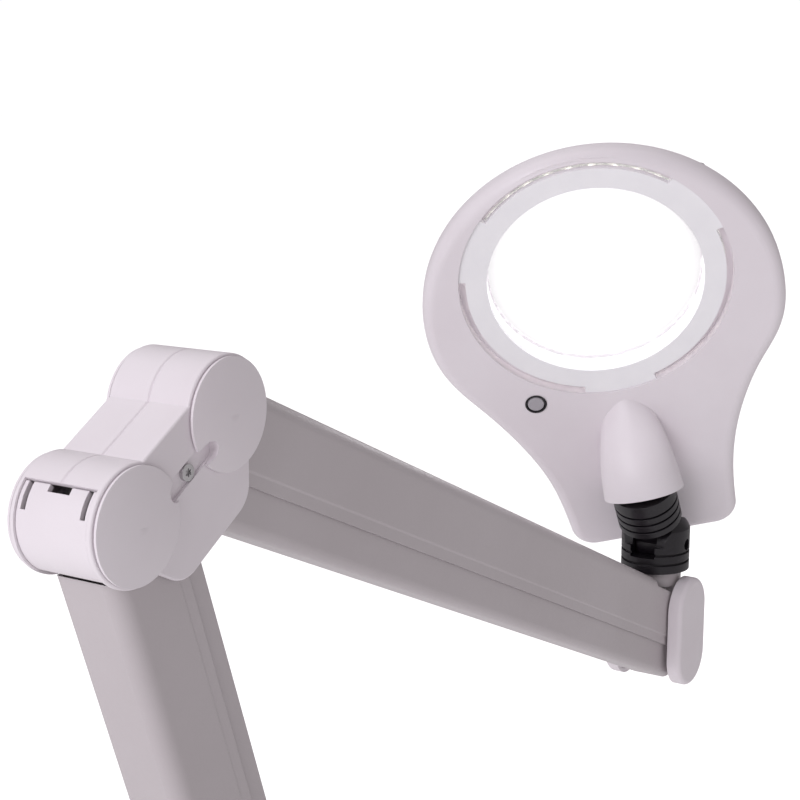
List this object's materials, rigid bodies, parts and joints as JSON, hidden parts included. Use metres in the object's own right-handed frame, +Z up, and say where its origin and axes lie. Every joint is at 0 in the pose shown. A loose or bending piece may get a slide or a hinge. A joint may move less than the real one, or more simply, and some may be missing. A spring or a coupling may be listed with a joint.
{
  "type": "magnifier lamp",
  "caption": "Illuminated magnifier on a spring-balanced double parallelogram arm: lens head with light ring, swivelling black joint, capped elbow and table clamp.",
  "frame": {"origin": "On the table's top face, under the clamp's upper jaw, on the vertical axis of the spindle that the arm turns about", "axes": "+Z up, +X from the lower arm towards the lens head at rest, +Y to the left, every arm pivot along Y"},
  "size_m": [0.576, 0.1906, 0.7718],
  "materials": {
    "shell": "satin moulded plastic, pale warm white",
    "arm_paint": "pale warm white powder coat on aluminium",
    "clamp_paint": "pale powder coat on steel",
    "black_plastic": "satin black",
    "button_plastic": "satin pale grey",
    "steel": "zinc plated steel",
    "spring_steel": "oiled spring wire",
    "bush_plastic": "natural acetal",
    "pad_rubber": "black rubber",
    "lens_glass": "polished clear glass",
    "diffuser": "opal translucent acrylic",
    "board": "white solder mask",
    "led": "phosphor over a white package"
  },
  "bodies": {
    "clamp": {"clamp_frame": "clamp_paint", "spindle_bush": "bush_plastic", "table_pad": "pad_rubber"},
    "screw_pad": {"clamp_pad": "steel"},
    "screw": {"clamp_screw": "steel"},
    "bar": {"clamp_bar": "steel"},
    "base_turret": {"base_spindle": "arm_paint", "base_plates": "steel", "base_left_cover": "shell", "base_right_cover": "shell", "base_caps": "shell", "base_axle": "steel", "base_link_axle": "steel"},
    "lower_arm": {"lower_main_channel": "arm_paint", "lower_main_bushes": "bush_plastic", "lower_spring": "spring_steel", "lower_pull_rod": "steel", "lower_spring_anchor": "steel"},
    "lower_link": {"lower_link_channel": "arm_paint", "lower_link_bushes": "bush_plastic"},
    "elbow": {"elbow_plates": "steel", "elbow_left_shell": "shell", "elbow_right_shell": "shell", "elbow_rear_cover": "shell", "elbow_left_caps": "shell", "elbow_right_caps": "shell", "elbow_axles": "steel", "elbow_link_axles": "steel", "elbow_post": "steel", "elbow_screws": "steel"},
    "upper_arm": {"upper_main_channel": "arm_paint", "upper_main_bushes": "bush_plastic", "upper_spring": "spring_steel", "upper_pull_rod": "steel", "upper_spring_anchor": "steel"},
    "upper_link": {"upper_link_channel": "arm_paint", "upper_link_bushes": "bush_plastic"},
    "head_bracket": {"bracket_core": "arm_paint", "bracket_left_cover": "shell", "bracket_right_cover": "shell", "bracket_axle": "steel", "bracket_link_axle": "steel", "swivel_pin": "steel"},
    "swivel": {"swivel_fork": "black_plastic", "tilt_pin": "steel"},
    "tilt": {"tilt_tongue": "black_plastic", "stem_clip": "black_plastic"},
    "head": {"head_face_shell": "shell", "head_back_shell": "shell", "lens": "lens_glass", "light_guide": "diffuser", "lens_ring": "diffuser", "led_board": "board", "led_chips": "led", "driver_board": "board", "button_bezel": "black_plastic", "button_switch": "board", "stem_bearing": "bush_plastic", "head_screws": "steel"},
    "button": {"power_button": "button_plastic"}
  },
  "joints": [
    {"name": "base_swivel", "type": "hinge", "parent": "clamp", "child": "base_turret", "pos_m": [0, 0, 0.036], "axis": [0, 0, 1], "range_deg": [-170, 170]},
    {"name": "lower_arm_hinge", "type": "hinge", "parent": "base_turret", "child": "lower_arm", "pos_m": [-0.01265, 0, 0.082], "axis": [0, -1, 0], "range_deg": [-30, 12]},
    {"name": "lower_link_hinge", "type": "hinge", "parent": "base_turret", "child": "lower_link", "pos_m": [0.01265, 0, 0.06888], "axis": [0, -1, 0], "range_deg": [-30, 12]},
    {"name": "elbow_rear_hinge", "type": "hinge", "parent": "lower_arm", "child": "elbow", "pos_m": [-0.16289, 0, 0.52206], "axis": [0, -1, 0], "range_deg": [-12, 30]},
    {"name": "upper_arm_hinge", "type": "hinge", "parent": "elbow", "child": "upper_arm", "pos_m": [-0.11071, 0, 0.55366], "axis": [0, -1, 0], "range_deg": [-10, 52]},
    {"name": "upper_link_hinge", "type": "hinge", "parent": "elbow", "child": "upper_link", "pos_m": [-0.11071, 0, 0.52516], "axis": [0, -1, 0], "range_deg": [-10, 52]},
    {"name": "head_bracket_hinge", "type": "hinge", "parent": "upper_arm", "child": "head_bracket", "pos_m": [0.33552, 0, 0.35124], "axis": [0, -1, 0], "range_deg": [-52, 10]},
    {"name": "head_swivel", "type": "hinge", "parent": "head_bracket", "child": "swivel", "pos_m": [0.33302, 0, 0.39654], "axis": [0, 0, 1], "range_deg": [-60, 75]},
    {"name": "head_tilt", "type": "hinge", "parent": "swivel", "child": "tilt", "pos_m": [0.33302, 0, 0.39654], "axis": [0, -1, 0], "range_deg": [-32, 25]},
    {"name": "head_twist", "type": "hinge", "parent": "tilt", "child": "head", "pos_m": [0.33302, 0, 0.39654], "axis": [-0.497, 0, 0.8678], "range_deg": [-45, 45]},
    {"name": "power_button_press", "type": "slide", "parent": "head", "child": "button", "axis": [0.7732, 0.454, 0.4428], "range_m": [0, 0.0015], "stiffness_N_per_m": 600},
    {"name": "clamp_screw_travel", "type": "slide", "parent": "clamp", "child": "screw_pad", "axis": [0, 0, 1], "range_m": [-0.018, 0.034]},
    {"name": "clamp_screw_turn", "type": "hinge", "parent": "screw_pad", "child": "screw", "pos_m": [0.012, 0, -0.06], "axis": [0, 0, 1], "range_deg": [-3800, 7100]},
    {"name": "clamp_bar_slide", "type": "slide", "parent": "screw", "child": "bar", "axis": [0, 1, 0], "range_m": [-0.027, 0.027]}
  ],
  "couplings": [
    {"joint": "lower_link_hinge", "follows": "lower_arm_hinge", "ratio": 1},
    {"joint": "elbow_rear_hinge", "follows": "lower_arm_hinge", "ratio": -1},
    {"joint": "upper_link_hinge", "follows": "upper_arm_hinge", "ratio": 1},
    {"joint": "head_bracket_hinge", "follows": "upper_arm_hinge", "ratio": -1},
    {"joint": "clamp_screw_turn", "follows": "clamp_screw_travel", "rad_per_m": 3590.4}
  ]
}
